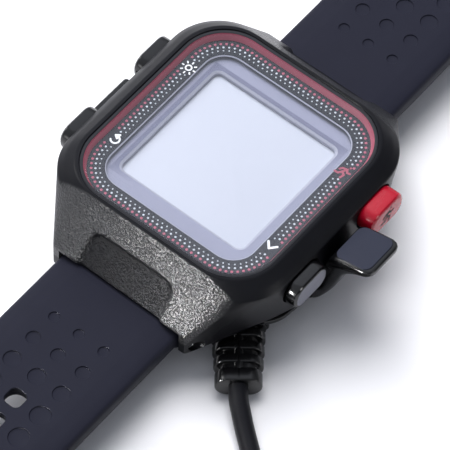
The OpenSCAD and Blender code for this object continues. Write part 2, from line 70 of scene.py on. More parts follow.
def top_of(node):
    return round(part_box(node)[1].z / MM, 3)


CASE_TOP = top_of("case_front")
LENS_TOP = top_of("lens")
LENS = (*size("lens")[:2], 7.5)
GASKET = (*size("lens_gasket")[:2], 8)
DIAL = (*size("dial_ring")[:2], 7.35)
DIAL_Z = 17.6
PANEL_W, PANEL_L = size("lcd_panel")[:2]
BUTTON_Y, BUTTON_Z = middle("button_light")[1:]
BUTTON_L, BUTTON_H = size("button_light")[1:]
BUTTON_R = 2.2
BLACK_FACE = 23.55
RED_FACE = 24.35
LUG_PIN_Y, LUG_PIN_Z = middle("strap_pin_far")[1:]
STRAP_W = size("strap_far")[0]
STRAP_END_W = 20.6
STRAP_TOP = top_of("strap_far")
STRAP_LOW = round(STRAP_TOP - 3.4, 3)
STRAP_TIP = round(-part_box("strap_near")[0].y / MM, 3)
DIMPLE_START = 36
DIMPLE_PITCH = 4.9
BUCKLE_Y, BUCKLE_Z = middle("buckle_pin")[1:]
LEVER_X, _, LEVER_Z = middle("lever_pin")
BASE_W, BASE_L = size("clip_cover")[:2]
RELIEF_AT = (22.1, -24.4)
RELIEF_TURN = Matrix.Rotation(math.radians(-51), 4, "Z")

# ---------- camera ----------

AZIMUTH = math.radians(36.722)
ELEVATION = math.radians(56.131)
ROLL = math.radians(2.716)
TARGET = Vector((8.216, -11.215, 19.0)) * MM
DISTANCE = 541.83 * MM
FOCAL_LENGTH = 284.8
SENSOR_WIDTH = 36

toward = Vector((
    math.sin(AZIMUTH) * math.cos(ELEVATION),
    -math.cos(AZIMUTH) * math.cos(ELEVATION),
    math.sin(ELEVATION)))
level = Vector((math.cos(AZIMUTH), math.sin(AZIMUTH), 0))
upward = toward.cross(level)
across = level * math.cos(ROLL) + upward * math.sin(ROLL)
over = upward * math.cos(ROLL) - level * math.sin(ROLL)

camera = bpy.data.objects.new("camera", bpy.data.cameras.new("camera"))
scene.collection.objects.link(camera)
aimed = Matrix((across, over, toward)).transposed().to_4x4()
camera.matrix_world = Matrix.Translation(TARGET + toward * DISTANCE) @ aimed
camera.data.lens = FOCAL_LENGTH
camera.data.sensor_width = SENSOR_WIDTH
camera.data.dof.use_dof = False
camera.data.clip_start = 0.01
scene.camera = camera


# ---------- shapes ----------

def clamp(t):
    return max(0.0, min(1.0, t))


def ease(start, end, t):
    """0 before start, 1 after end, smooth between"""
    t = clamp((t - start) / (end - start))
    return t * t * (3 - 2 * t)


def soft_ramp(start, end, t, width=3.0):
    """Straight ramp from 0 to 1 with rounded ends"""
    return sum(clamp((t + width * k / 4 - start) / (end - start)) for k in range(-4, 5)) / 9


def rrect(w, l, r, n=8):
    """Outline of a rectangle with round corners, anticlockwise"""
    r = max(r, 0.02)
    out = []
    for sx, sy, turn in ((1, 1, 0), (-1, 1, 90), (-1, -1, 180), (1, -1, 270)):
        for k in range(n + 1):
            a = math.radians(turn + 90 * k / n)
            out.append((sx * (w / 2 - r) + r * math.cos(a), sy * (l / 2 - r) + r * math.sin(a)))
    return out


def path_length(points):
    return sum((Vector(b) - Vector(a)).length for a, b in zip(points, points[1:]))


def resample(outline, count, phase=0.0):
    """Points at equal steps along a closed outline"""
    pts = [Vector(p) for p in outline]
    pts.append(pts[0].copy())
    reach = [0.0]
    for a, b in zip(pts, pts[1:]):
        reach.append(reach[-1] + (b - a).length)
    out = []
    i = 0
    for k in range(count):
        s = reach[-1] * (k + phase) / count
        while i < len(reach) - 2 and reach[i + 1] < s:
            i += 1
        span = reach[i + 1] - reach[i]
        out.append(pts[i].lerp(pts[i + 1], (s - reach[i]) / span if span > 0 else 0))
    return out


def rounded(outline, passes=2):
    """Closed outline with its corners cut back again and again"""
    pts = [Vector(p) for p in outline]
    for _ in range(passes):
        out = []
        for i, p in enumerate(pts):
            q = pts[(i + 1) % len(pts)]
            out += [p.lerp(q, 0.25), p.lerp(q, 0.75)]
        pts = out
    return pts


def inset(outline, depth):
    """Closed anticlockwise outline moved inward"""
    pts = [Vector(p) for p in outline]
    out = []
    for i, p in enumerate(pts):
        step = pts[(i + 1) % len(pts)] - pts[i - 1]
        side = Vector((-step.y, step.x)).normalized()
        out.append(p + side * depth)
    return out


def edges(low, high, low_r, high_r, n=4):
    """Levels (height, inset) of a solid whose lower and upper edges are rounded"""
    out = []
    for k in range(n + 1):
        a = math.pi / 2 * k / n
        out.append((low + low_r * (1 - math.cos(a)), low_r * (1 - math.sin(a))))
    for k in range(n + 1):
        a = math.pi / 2 * k / n
        out.append((high - high_r * (1 - math.sin(a)), high_r * (1 - math.cos(a))))
    return out


def plate_rings(w, l, r, levels, n=8, at=(0, 0)):
    """Rings of an upright round-cornered plate"""
    return [[(x + at[0], y + at[1], z) for x, y in rrect(w - 2 * i, l - 2 * i, r - i, n)] for z, i in levels]


def rod_rings(r, levels, axis, at, n=24):
    """Rings of a round rod along axis x, y or z; each level is (place, inset)"""
    out = []
    for s, i in levels:
        ring = []
        for k in range(n):
            a = 2 * math.pi * k / n
            u = (r - i) * math.cos(a)
            v = (r - i) * math.sin(a)
            p = {"x": (s, u, v), "y": (v, s, u), "z": (u, v, s)}[axis]
            ring.append(tuple(p[j] + at[j] for j in range(3)))
        out.append(ring)
    return out


class Shape:
    """Points and faces that are gathered before they become one mesh"""

    def __init__(self):
        self.points = []
        self.faces = []

    def loft(self, rings, closed=False):
        """Skin over rings of equal length, capped unless the last ring meets the first"""
        base = len(self.points)
        n = len(rings[0])
        count = len(rings)
        for ring in rings:
            self.points += [Vector(p) for p in ring]
        for i in range(count if closed else count - 1):
            j = (i + 1) % count
            for k in range(n):
                m = (k + 1) % n
                self.faces.append((base + i * n + k, base + i * n + m, base + j * n + m, base + j * n + k))
        if not closed:
            self.faces.append(tuple(base + k for k in reversed(range(n))))
            self.faces.append(tuple(base + (count - 1) * n + k for k in range(n)))
        return self

    def stroke(self, a, b, width, low, high, place):
        """Flat bar with round ends between two plan points, set on the surface by place(x, y, z)"""
        a = Vector(a)
        b = Vector(b)
        along = (b - a).normalized() if (b - a).length > 1e-6 else Vector((1, 0))
        side = Vector((-along.y, along.x))
        outline = []
        for centre, turn in ((b, -90), (a, 90)):
            for k in range(7):
                t = math.radians(turn + 30 * k)
                outline.append(centre + (along * math.cos(t) + side * math.sin(t)) * width / 2)
        return self.loft([[place(p.x, p.y, z) for p in outline] for z in (low, high)])

    def moved(self, matrix):
        self.points = [matrix @ p for p in self.points]
        return self

    def make(self, name, smooth=32):
        mesh = bpy.data.meshes.new(name)
        mesh.from_pydata([p * MM for p in self.points], [], self.faces)
        mesh.validate()
        bm = bmesh.new()
        bm.from_mesh(mesh)
        bmesh.ops.recalc_face_normals(bm, faces=bm.faces)
        bm.to_mesh(mesh)
        bm.free()
        obj = bpy.data.objects.new(name, mesh)
        scene.collection.objects.link(obj)
        shade(obj, smooth)
        return obj


def plate(w, l, r, levels, n=8, at=(0, 0)):
    """Upright round-cornered plate; levels are (height, inset)"""
    return Shape().loft(plate_rings(w, l, r, levels, n, at))


def mirrored(shape, side_x, side_y=1):
    """Turns a shape over to the other side in X or Y, where that side is -1"""
    shape.points = [Vector((side_x * p.x, side_y * p.y, p.z)) for p in shape.points]
    return shape


def across_x(shape, side):
    """Turns an upright shape so that its height runs along X on one side of the case"""
    shape.points = [Vector((side * p.z, p.x, p.y)) for p in shape.points]
    return shape


def shade(obj, angle):
    """Smooth shading with edges sharper than angle kept crisp"""
    obj.data.shade_smooth()
    obj.data.set_sharp_from_angle(angle=math.radians(angle))


def carve(obj, cutters, operation="DIFFERENCE", smooth=32):
    """Cuts each cutter away from obj, and removes the cutters"""
    for cutter in cutters:
        m = obj.modifiers.new("cut", "BOOLEAN")
        m.operation = operation
        m.object = cutter
        m.solver = "MANIFOLD"
    bpy.context.view_layer.update()
    shaped = obj.evaluated_get(bpy.context.evaluated_depsgraph_get())
    mesh = bpy.data.meshes.new_from_object(shaped)
    obj.modifiers.clear()
    obj.data = mesh
    for cutter in cutters:
        bpy.data.objects.remove(cutter)
    shade(obj, smooth)
    return obj


def dress(obj, finish, body, nodes=()):
    """Gives a piece its finish, its body, and the CAD nodes that it stands for"""
    if obj.data.materials:
        obj.data.materials.clear()
    obj.data.materials.append(finish)
    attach(obj, body)
    if nodes:
        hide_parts(*nodes)
    return obj


# ---------- finishes ----------

def linear(code):
    """Linear colour of a web colour"""
    out = []
    for k in (1, 3, 5):
        c = int(code[k:k + 2], 16) / 255
        out.append(c / 12.92 if c <= 0.04045 else ((c + 0.055) / 1.055) ** 2.4)
    return out


class Finish:
    """A procedural material in object space"""

    def __init__(self, name):
        self.material = bpy.data.materials.new(name)
        self.material.use_nodes = True
        self.nodes = self.material.node_tree.nodes
        self.links = self.material.node_tree.links
        self.shader = self.nodes["Principled BSDF"]
        self.place = self.nodes.new("ShaderNodeTexCoord").outputs["Object"]

    def put(self, socket, value):
        """Links another socket to this one, or sets its value"""
        if isinstance(value, bpy.types.NodeSocket):
            self.links.new(value, socket)
        else:
            socket.default_value = value

    def millimetres(self):
        """The three object coordinates, in millimetres"""
        split = self.nodes.new("ShaderNodeSeparateXYZ")
        self.links.new(self.place, split.inputs[0])
        return [self.math("MULTIPLY", split.outputs[k], 1000.0) for k in range(3)]

    def math(self, operation, a, b=0.0, c=0.0):
        node = self.nodes.new("ShaderNodeMath")
        node.operation = operation
        for k, value in enumerate((a, b, c)):
            self.put(node.inputs[k], value)
        return node.outputs[0]

    def noise(self, size, detail=3.0, stretch=None, rough=0.5):
        """Noise whose features are about size mm across"""
        node = self.nodes.new("ShaderNodeTexNoise")
        node.inputs["Scale"].default_value = 1 / (size * MM)
        node.inputs["Detail"].default_value = detail
        node.inputs["Roughness"].default_value = rough
        source = self.place
        if stretch:
            turn = self.nodes.new("ShaderNodeMapping")
            turn.inputs["Scale"].default_value = stretch
            self.links.new(self.place, turn.inputs["Vector"])
            source = turn.outputs[0]
        self.links.new(source, node.inputs["Vector"])
        return node.outputs["Fac"]

    def cells(self, size):
        """Round cells about size mm across, deepest in their middles"""
        node = self.nodes.new("ShaderNodeTexVoronoi")
        node.feature = "SMOOTH_F1"
        node.inputs["Scale"].default_value = 1 / (size * MM)
        self.links.new(self.place, node.inputs["Vector"])
        return node.outputs["Distance"]

    def span(self, value, low, high, to_low=0.0, to_high=1.0):
        """Smooth step from to_low to to_high while the value runs from low to high"""
        node = self.nodes.new("ShaderNodeMapRange")
        node.interpolation_type = "SMOOTHSTEP"
        self.put(node.inputs["Value"], value)
        node.inputs["From Min"].default_value = low
        node.inputs["From Max"].default_value = high
        node.inputs["To Min"].default_value = to_low
        node.inputs["To Max"].default_value = to_high
        return node.outputs["Result"]

    def mix(self, factor, a, b):
        node = self.nodes.new("ShaderNodeMix")
        node.data_type = "RGBA"
        self.put(node.inputs[0], factor)
        for socket, value in ((node.inputs[6], a), (node.inputs[7], b)):
            self.put(socket, value if isinstance(value, bpy.types.NodeSocket) else (*value, 1))
        return node.outputs[2]

    def bump(self, height, depth, strength=1.0, under=None):
        """Normal of a relief of this depth in mm"""
        node = self.nodes.new("ShaderNodeBump")
        node.inputs["Distance"].default_value = depth * MM
        self.put(node.inputs["Strength"], strength)
        self.links.new(height, node.inputs["Height"])
        if under:
            self.links.new(under, node.inputs["Normal"])
        return node.outputs["Normal"]

    def set(self, **values):
        for name, value in values.items():
            self.put(self.shader.inputs[name.replace("_", " ")], value)


# Extra roughness of the rubbed patches
SCUFF_GLOSS = 0.06


def moulded(name, colour, rough, grain=0.3, depth=0.02, tint=0.12, spread=0.07, metal=0.0,
            stretch=None, specular=0.5):
    """Plain finish with fine grain, uneven gloss and rubbed patches"""
    f = Finish(name)
    base = linear(colour)
    patches = f.noise(4.0, 2.0)
    fine = f.noise(grain, 4.0, stretch, 0.6)
    dark = [c * (1 - tint) for c in base]
    pale = [min(1, c * (1 + tint) + 0.002) for c in base]
    colour_out = f.mix(f.math("MULTIPLY_ADD", fine, 0.5, f.math("MULTIPLY", patches, 0.5)), dark, pale)
    scuffs = f.span(f.noise(1.4, 5.0, (1.0, 0.25, 1.0), 0.7), 0.58, 0.75)
    gloss = f.math("MULTIPLY_ADD", patches, 2 * spread, rough - spread)
    gloss = f.math("MULTIPLY_ADD", fine, spread, gloss)
    gloss = f.math("MULTIPLY_ADD", scuffs, SCUFF_GLOSS, gloss)
    f.set(Base_Color=colour_out, Roughness=gloss, Metallic=metal)
    f.set(Specular_IOR_Level=specular)
    f.set(Normal=f.bump(fine, depth, 0.6))
    return f.material


# Slope of the case above a strap: its outward direction in the YZ plane, and how far out it lies
SLOPE_OUT = (0.794, 0.608)
LUG_X = 13.1
LUG_Y = 26.7
LUG_TOP = 10.6
SLOPE_AT = LUG_Y * SLOPE_OUT[0] + LUG_TOP * SLOPE_OUT[1]


def case_finish():
    """Satin moulding whose end slopes carry a leather grain, with a smoother panel in each"""
    f = Finish("case")
    x, y, z = f.millimetres()
    x = f.math("ABSOLUTE", x)
    y = f.math("ABSOLUTE", y)
    out = f.math("ADD", f.math("MULTIPLY", y, SLOPE_OUT[0]), f.math("MULTIPLY", z, SLOPE_OUT[1]))
    slope = f.span(out, SLOPE_AT - 1.6, SLOPE_AT - 1.1)
    slope = f.math("MULTIPLY", slope, f.span(x, 14.5, 19.0, 1.0, 0.0))
    slope = f.math("MULTIPLY", slope, f.span(y, 19.9, 20.5))
    panel = f.math("MULTIPLY", f.span(x, 7.4, 8.2, 1.0, 0.0), f.span(z, 15.1, 15.7, 1.0, 0.0))
    softer = f.math("MULTIPLY_ADD", panel, -0.3, 1.0)
    grained = f.math("MULTIPLY", slope, softer)
    creases = f.math("MULTIPLY", f.noise(0.27, 2.0), 0.8)
    leather = f.math("MULTIPLY_ADD", f.cells(0.32), -1.3, creases)
    fine = f.noise(0.22, 4.0, None, 0.6)
    patches = f.noise(5.0, 2.0)
    base = linear("#0b0b0f")
    pale = linear("#131419")
    f.set(Base_Color=f.mix(f.math("MULTIPLY", patches, 0.8), base, pale))
    gloss = f.math("MULTIPLY_ADD", patches, 0.12, 0.28)
    gloss = f.math("MULTIPLY_ADD", slope, 0.02, gloss)
    gloss = f.math("MULTIPLY_ADD", panel, 0.08, gloss)
    f.set(Roughness=f.math("MULTIPLY_ADD", fine, 0.06, gloss))
    bare = f.math("SUBTRACT", slope, f.math("MULTIPLY", panel, 1.08))
    f.set(Specular_IOR_Level=f.math("MAXIMUM", f.math("MULTIPLY_ADD", bare, 0.55, 0.18), 0.06))
    small = f.bump(fine, 0.012, 0.5)
    f.set(Normal=f.bump(leather, 0.15, grained, small))
    return f.material


def display_finish():
    """Surround of the picture, with a painted shadow along its left and upper sides where the window's edge
    would shade it
    """
    f = Finish("lcd")
    x, y, _ = f.millimetres()
    near = f.math("MAXIMUM", f.math("ABSOLUTE", x), f.math("ABSOLUTE", y))
    upper_left = f.span(f.math("SUBTRACT", y, x), -6.0, 3.0)
    # Painted shadow: a darker strip round the picture on its left and upper sides only, where the window's
    # edge shades the display
    painted_shadow_strip = f.math("MULTIPLY", f.span(near, 13.1, 13.4, 1.0, 0.0), upper_left)
    fine = f.noise(0.5, 3.0)
    plain = f.mix(fine, linear("#85879b"), linear("#898ba0"))
    f.set(Base_Color=f.mix(f.math("MULTIPLY", painted_shadow_strip, 0.9), plain, linear("#5f6179")))
    f.set(Roughness=f.math("MULTIPLY_ADD", fine, 0.08, 0.46), Normal=f.bump(fine, 0.004, 0.5))
    return f.material


def glass_finish():
    """Clear window: a mirror-like gloss over what lies below it"""
    f = Finish("lens")
    fresnel = f.nodes.new("ShaderNodeFresnel")
    fresnel.inputs["IOR"].default_value = 1.45
    clear = f.nodes.new("ShaderNodeBsdfTransparent")
    clear.inputs["Color"].default_value = (0.97, 0.975, 0.985, 1)
    gloss = f.nodes.new("ShaderNodeBsdfGlossy")
    f.put(gloss.inputs["Roughness"], f.math("MULTIPLY_ADD", f.noise(3.0, 4.0), 0.03, 0.03))
    wave = f.bump(f.noise(9.0, 1.0), 0.01, 0.3)
    f.links.new(wave, gloss.inputs["Normal"])
    mix = f.nodes.new("ShaderNodeMixShader")
    facing = f.nodes.new("ShaderNodeSeparateXYZ")
    f.links.new(f.nodes["Texture Coordinate"].outputs["Normal"], facing.inputs[0])
    outer = f.span(facing.outputs[2], 0.25, 0.6)
    f.put(mix.inputs[0], f.math("MULTIPLY", fresnel.outputs[0], outer))
    f.links.new(clear.outputs[0], mix.inputs[1])
    f.links.new(gloss.outputs[0], mix.inputs[2])
    f.links.new(mix.outputs[0], f.nodes["Material Output"].inputs["Surface"])
    f.nodes.remove(f.shader)
    return f.material


FINISH = {
    "case": case_finish(),
    "lens": glass_finish(),
    "gasket": moulded("gasket", "#a04d60", 0.6, 0.3, 0.01),
    "dial_print": moulded("dial_print", "#151821", 0.6, 0.25, 0.006, specular=0.3),
    "lcd": display_finish(),
    "lcd_edge": moulded("lcd_edge", "#9a9cab", 0.5, 0.5, 0.004, tint=0.03),
    "lcd_picture": moulded("lcd_picture", "#b9bdc9", 0.5, 0.5, 0.003, tint=0.015),
    "light_guide": moulded("light_guide", "#dfe4e6", 0.35, 0.5, 0.01, tint=0.05),
    "board": moulded("board", "#1f5a3a", 0.45, 0.3, 0.02),
    "ceramic": moulded("ceramic", "#b99a78", 0.6, 0.2, 0.02),
    "foil": moulded("foil", "#8f9196", 0.38, 0.4, 0.03, metal=0.8),
    "component": moulded("component", "#202124", 0.5, 0.2, 0.02),
    "steel": moulded("steel", "#c4c6c9", 0.25, 0.12, 0.01, metal=1.0, stretch=(1.0, 8.0, 1.0)),
    "gold": moulded("gold", "#d5a94a", 0.25, 0.15, 0.01, metal=1.0),
    "seal": moulded("seal", "#232429", 0.7, 0.3, 0.02),
    "button_black": moulded("button_black", "#050507", 0.13, 0.25, 0.006),
    # Grey of the scroll button's face: a painted reflection of the pale floor that the face looks out over
    "button_face": moulded("button_face", "#70717c", 0.42, 0.2, 0.012),
    "button_red": moulded("button_red", "#a00722", 0.2, 0.25, 0.006, specular=0.4),
    "strap": moulded("strap", "#1b1c28", 0.52, 0.16, 0.018, tint=0.15, spread=0.05, specular=0.14),
    "clip": moulded("clip", "#060608", 0.2, 0.3, 0.01),
    "lever_pad": moulded("lever_pad", "#242735", 0.6, 0.14, 0.02, tint=0.15, specular=0.25),
    "cord": moulded("cord", "#0a0a10", 0.4, 0.25, 0.015, specular=0.22),
    "plug_insert": moulded("plug_insert", "#e8e8ea", 0.45, 0.3, 0.01, tint=0.03),
    "print_pink": moulded("print_pink", "#a8566a", 0.5, 0.2, 0.004, tint=0.05),
    "print_grey": moulded("print_grey", "#c2c9d2", 0.5, 0.2, 0.004, tint=0.05),
    "print_white": moulded("print_white", "#eef0f4", 0.5, 0.2, 0.004, tint=0.03),
    "print_black": moulded("print_black", "#060607", 0.5, 0.2, 0.004, specular=0.1),
    "print_red": moulded("print_red", "#9c4558", 0.5, 0.3, 0.006, tint=0.08),
}

# ---------- charging cord ----------

CORD_D = 3.1
# From the strain relief to the coil, and from the coil to the plug
ROUTE = [
    (22.1, -24.4, 2.7), (23.4, -26, 2.7), (25, -27.4, 2.4), (27.2, -29.2, 1.9), (30, -31.4, 1.6),
    (33.4, -34.3, 1.6), (37.2, -37.6, 1.6), (41, -41.2, 1.6), (44.8, -45, 1.6), (48.6, -49.1, 1.6),
    (52.3, -53.5, 1.6), (56, -58, 1.6)]
TAIL = [
    (60.9, -71.6, 7.8), (61.1, -76, 7.6), (61.3, -80, 6.9), (61.5, -84, 5.9), (61.6, -88, 4.7),
    (61.6, -92, 4), (61.6, -96, 4)]
COIL_AT = middle("cord_coil")[:2]
# Radii and heights of the turns, one cord's width apart
NEAR_R, MID_R, FAR_R = 14.9, 18, 21.1
LOW_Z, MID_Z, HIGH_Z = 1.6, 4.7, 7.8
TURNS = [
    (FAR_R, LOW_Z), (MID_R, LOW_Z), (NEAR_R, LOW_Z), (NEAR_R, MID_Z), (NEAR_R, HIGH_Z),
    (MID_R, HIGH_Z), (MID_R, MID_Z), (FAR_R, MID_Z), (FAR_R, HIGH_Z)]
# Degrees: where the cord enters, when the second and the last turn are reached, how long the cord
# takes to move over from one turn to the next, and the whole run
ENTRY = 40
FIRST_TURN = 350.0
LAST_TURN = 2644
TURN_STEP = (LAST_TURN - FIRST_TURN) / 7
SHIFT = 31.0
RUN = 2920.0
COIL_STEPS = 162


def coil_point(run):
    """Centre line of the coil after it has run this many degrees clockwise from where the cord enters"""
    r, z = TURNS[0]
    for k in range(1, len(TURNS)):
        done = FIRST_TURN + (k - 1) * TURN_STEP
        t = ease(done - SHIFT, done, run)
        r += (TURNS[k][0] - TURNS[k - 1][0]) * t
        z += (TURNS[k][1] - TURNS[k - 1][1]) * t
    a = math.radians(ENTRY - run)
    return (COIL_AT[0] + r * math.cos(a), COIL_AT[1] + r * math.sin(a), z)


cord_points = ROUTE[:-1] + [coil_point(RUN * k / COIL_STEPS) for k in range(COIL_STEPS)] + TAIL
cord_curve = bpy.data.curves.new("charging_cord", "CURVE")
cord_curve.dimensions = "3D"
cord_curve.bevel_depth = CORD_D / 2 * MM
cord_curve.bevel_resolution = 5
cord_curve.use_fill_caps = True
cord_curve.resolution_u = 6
spline = cord_curve.splines.new("BEZIER")
spline.bezier_points.add(len(cord_points) - 1)
for point, place in zip(spline.bezier_points, cord_points):
    point.co = Vector(place) * MM
    point.handle_left_type = "AUTO"
    point.handle_right_type = "AUTO"
cord = bpy.data.objects.new("charging_cord", cord_curve)
scene.collection.objects.link(cord)
dress(cord, FINISH["cord"], "clip", ("charge_cord", "cord_coil", "cord_tail"))

# ---------- case shell ----------


def case_shell():
    """Bezel, end slopes and lugs as one closed skin; the openings are cut from it afterwards"""
    bm = bmesh.new()
    plan = [(21.8, 10.6), (20.4, 14.4), (LUG_X, LUG_Y), (-LUG_X, LUG_Y), (-20.4, 14.4), (-21.8, 10.6)]
    plan += [(x, -y) for x, y in reversed(plan)]
    lugs = [(LUG_X, LUG_Y), (-LUG_X, LUG_Y), (-LUG_X, -LUG_Y), (LUG_X, -LUG_Y)]
    slices = [
        (rrect(37.8, 40.6, 9, 16), 5.3, 5.5), (lugs, 5.7, LUG_TOP), (plan, 8.6, LUG_TOP),
        (rrect(42.8, 43.6, 9.3, 16), 16.2, 17.0), (rrect(40.8, 42, 9, 16), 17.9, 18.0),
        (rrect(37.4, 40.1, 8.4, 16), 18.95, CASE_TOP)]
    for outline, low, high in slices:
        for z in (low, high):
            for x, y in outline:
                bm.verts.new((x, y, z))
    bmesh.ops.convex_hull(bm, input=bm.verts)
    tree = BVHTree.FromBMesh(bm)
    bm.free()
    directions = [p.normalized() for p in resample(plan, 540)]
    heights = [5.302, 5.5, 5.62, 5.75, 5.95, 6.2, 6.6, 7.1, 7.7, 8.2, 8.6, 8.9, 9.3, 9.7, 10.0, 10.2, 10.4]
    heights += [10.6 + 0.24 * k for k in range(27)]
    heights += [17.0 + 0.18 * k for k in range(11)] + [18.95, 19.05, 19.148]
    rows = []
    for z in heights:
        row = []
        for d in directions:
            hit = tree.ray_cast(Vector((0, 0, z)), Vector((d.x, d.y, 0)))[0]
            row.append(pressed(hit))
        rows.append(row)
    for _ in range(2):
        rows = relax(rows)
    top = [[p + Vector((-p.x, -p.y, 0)).normalized() * 0.16 for p in rows[-1]]]
    return Shape().loft(rows[:-1] + top).make("case_shell")


def relax(rows):
    """Evens out a grid of points, except for its first and last rows"""
    out = [rows[0]]
    n = len(rows[0])
    for i in range(1, len(rows) - 1):
        row = []
        for k in range(n):
            mean = (rows[i - 1][k] + rows[i + 1][k] + rows[i][k - 1] + rows[i][(k + 1) % n]) / 4
            row.append(rows[i][k].lerp(mean, 0.45))
        out.append(row)
    return out + [rows[-1]]


def pressed(p):
    """Point of the skin, moved in where the shallow panel lies above a strap"""
    y = abs(p.y)
    side = 1 if p.y > 0 else -1
    out = (y - LUG_Y) * SLOPE_OUT[0] + (p.z - LUG_TOP) * SLOPE_OUT[1]
    along = (LUG_Y - y) * SLOPE_OUT[1] + (p.z - LUG_TOP) * SLOPE_OUT[0]
    if out < -1.2 and p.z > LUG_TOP or p.z < 9.3 or y < LUG_Y - 1.5 and p.z < LUG_TOP:
        return p
    q = Vector((max(abs(p.x) - 8 + 2.2, 0), max(max(along, 0) - 6.2 + 2.2, 0)))
    f = ease(0.3, -0.25, q.length - 2.2) * 0.5
    low = clamp((LUG_TOP - p.z) / 0.4)
    return p + Vector((0, -side * f * (0.8 + 0.2 * low), -0.6 * f * (1 - low)))


def flared(w, l, r, low, high, mouth, n=16, at=(0, 0)):
    """Plate-shaped cutter whose mouth opens out at height high"""
    levels = [
        (low, 0), (high - 2 * mouth, 0), (high - mouth, -mouth * 0.3), (high, -mouth), (high + 2, -mouth)]
    return plate(w, l, r, levels, n, at)


shell = case_shell()
# Seats of the lens, the dial, the display, the inside of the watch, the back, and the back's seal
cutters = [
    flared(36.3, 39.0, 8.1, DIAL_Z, CASE_TOP, 0.12),
    plate(34.9, 37.6, 7.4, [(17.1, 0), (17.7, 0)]),
    plate(32, 34.6, 2, [(16, 0), (17.2, 0)]),
    plate(37.6, 39.2, 8, [(11.8, 0), (16.6, 0)]),
    plate(33.6, 36.8, 7.4, [(4, 0), (11.9, 0)]),
    plate(36, 38.8, 8.1, [(4, -0.2), (5.2, -0.2), (5.5, 0), (7.0, 0)])]
STRAP_SLOT = [
    (29, -2), (29, 10.3), (26.9, 10.3), (26.62, 10.18), (26.35, 10.02), (22.8, 10.0), (22.45, 9.85),
    (22.3, 9.5), (22.3, -2)]
SLOT_HALF_W = 11.95
PIN_RECESS = [(12.6, 0), (12.9, 0), (13.02, -0.05), (13.12, -0.16), (15, -0.16)]
for side in (-1, 1):
    for y in (-BUTTON_Y, BUTTON_Y):
        pocket = flared(BUTTON_L + 0.5, BUTTON_H + 0.5, 2.5, 20.3, 21.9, 0.25, 8, (y, BUTTON_Z))
        cutters.append(across_x(pocket, side))
        bore = Shape().loft(rod_rings(1.06, [(17, 0), (20.5, 0)], "x", (0, y, BUTTON_Z)))
        cutters.append(mirrored(bore, side))
    ends = (-SLOT_HALF_W, SLOT_HALF_W)
    cutters.append(Shape().loft([[(x, side * y, z) for y, z in STRAP_SLOT] for x in ends]))
    for end in (-1, 1):
        recess = Shape().loft(rod_rings(1.1, PIN_RECESS, "x", (0, LUG_PIN_Y, LUG_PIN_Z), 32))
        cutters.append(mirrored(recess, end, side))
cutters = [shape.make("cut") for shape in cutters]
dress(carve(shell, cutters, smooth=30), FINISH["case"], "watch", ("case_front",))

# ---------- lens, gasket and dial ----------

lens = plate(*LENS, edges(17.65, LENS_TOP, 0.08, 0.35, 5), 16).make("lens_window")
dress(lens, FINISH["lens"], "watch", ("lens",))


def ring_shape(w, l, r, section):
    """Closed ring; section is a closed list of (inset, height)"""
    rings = [[(x, y, z) for x, y in rrect(w - 2 * i, l - 2 * i, r - i, 16)] for i, z in section]
    return Shape().loft(rings, True)


section = [(0, 17.66), (0, 18.7), (0.08, 18.84), (0.44, 18.86), (0.5, 18.8), (0.98, 17.66)]
gasket = ring_shape(*GASKET, section).make("lens_gasket_ring")
dress(gasket, FINISH["gasket"], "watch", ("lens_gasket",))
section = [(-0.08, 18.87), (-0.08, 18.93), (0.0, 18.96), (0.36, 18.96), (0.45, 18.92), (0.45, 18.87)]
lip = ring_shape(*GASKET, section).make("lens_gasket_lip")
dress(lip, FINISH["seal"], "watch", ())
section = [(0, 17.1), (0, 17.55), (0.06, 17.615), (3.05, 17.615), (3.3, 17.45), (3.3, 17.1)]
surround = ring_shape(*DIAL, section).make("dial_surround")
dress(surround, FINISH["dial_print"], "watch", ("dial_ring",))
section = [(3.18, 17.5), (3.18, 17.56), (3.36, 17.44), (3.36, 17.38)]
window_edge = ring_shape(*DIAL, section).make("dial_window_edge")
dress(window_edge, FINISH["lcd_edge"], "watch", ())

MARK_X = 15.45
MARKS = {
    "sun": (-MARK_X, BUTTON_Y), "back": (-MARK_X, -BUTTON_Y), "runner": (MARK_X, BUTTON_Y),
    "down": (MARK_X, -BUTTON_Y)}
# No dot lies nearer than this to the middle of a mark
MARK_CLEAR = 1.55
DOT_PITCH = 0.9


def dots(name, depth, radius, phase, finish):
    """One row of printed dots at this distance inside the dial's edge"""
    w, l, r = DIAL
    line = rrect(w - 2 * depth, l - 2 * depth, r - depth, 16)
    pairs = round(path_length(line + line[:1]) / DOT_PITCH / 2)
    levels = [(DIAL_Z, 0), (DIAL_Z + 0.035, 0), (DIAL_Z + 0.042, 0.02)]
    shape = Shape()
    for p in resample(line, 2 * pairs, phase):
        if min((p - Vector(m)).length for m in MARKS.values()) < MARK_CLEAR:
            continue
        shape.loft(rod_rings(radius, levels, "z", (p.x, p.y, 0), 10))
    return dress(shape.make(name), finish, "watch", ())


dots("dial_dots_outer", 1.05, 0.23, 0.0, FINISH["print_pink"])
dots("dial_dots_middle", 1.72, 0.18, 0.5, FINISH["print_grey"])
dots("dial_dots_inner", 2.38, 0.13, 0.0, FINISH["print_grey"])


def on_dial(x, y, z):
    return Vector((x, y, z))


# Points in each of the two rings of a stroke
STROKE_POINTS = 14


def marks(name, lines, width, at, finish, scale=1.0):
    """Printed line figure on the dial; lines are chains of points about its middle

    Each stroke is a little lower than the one before, so that no two tops lie in one plane.
    """
    shape = Shape()
    for chain in lines:
        for a, b in zip(chain, chain[1:]):
            a = (a[0] * scale + at[0], a[1] * scale + at[1])
            b = (b[0] * scale + at[0], b[1] * scale + at[1])
            top = DIAL_Z + 0.046 - 0.0008 * len(shape.points) / STROKE_POINTS
            shape.stroke(a, b, width, DIAL_Z + 0.01, max(top, DIAL_Z + 0.02), on_dial)
    return dress(shape.make(name), finish, "watch", ())


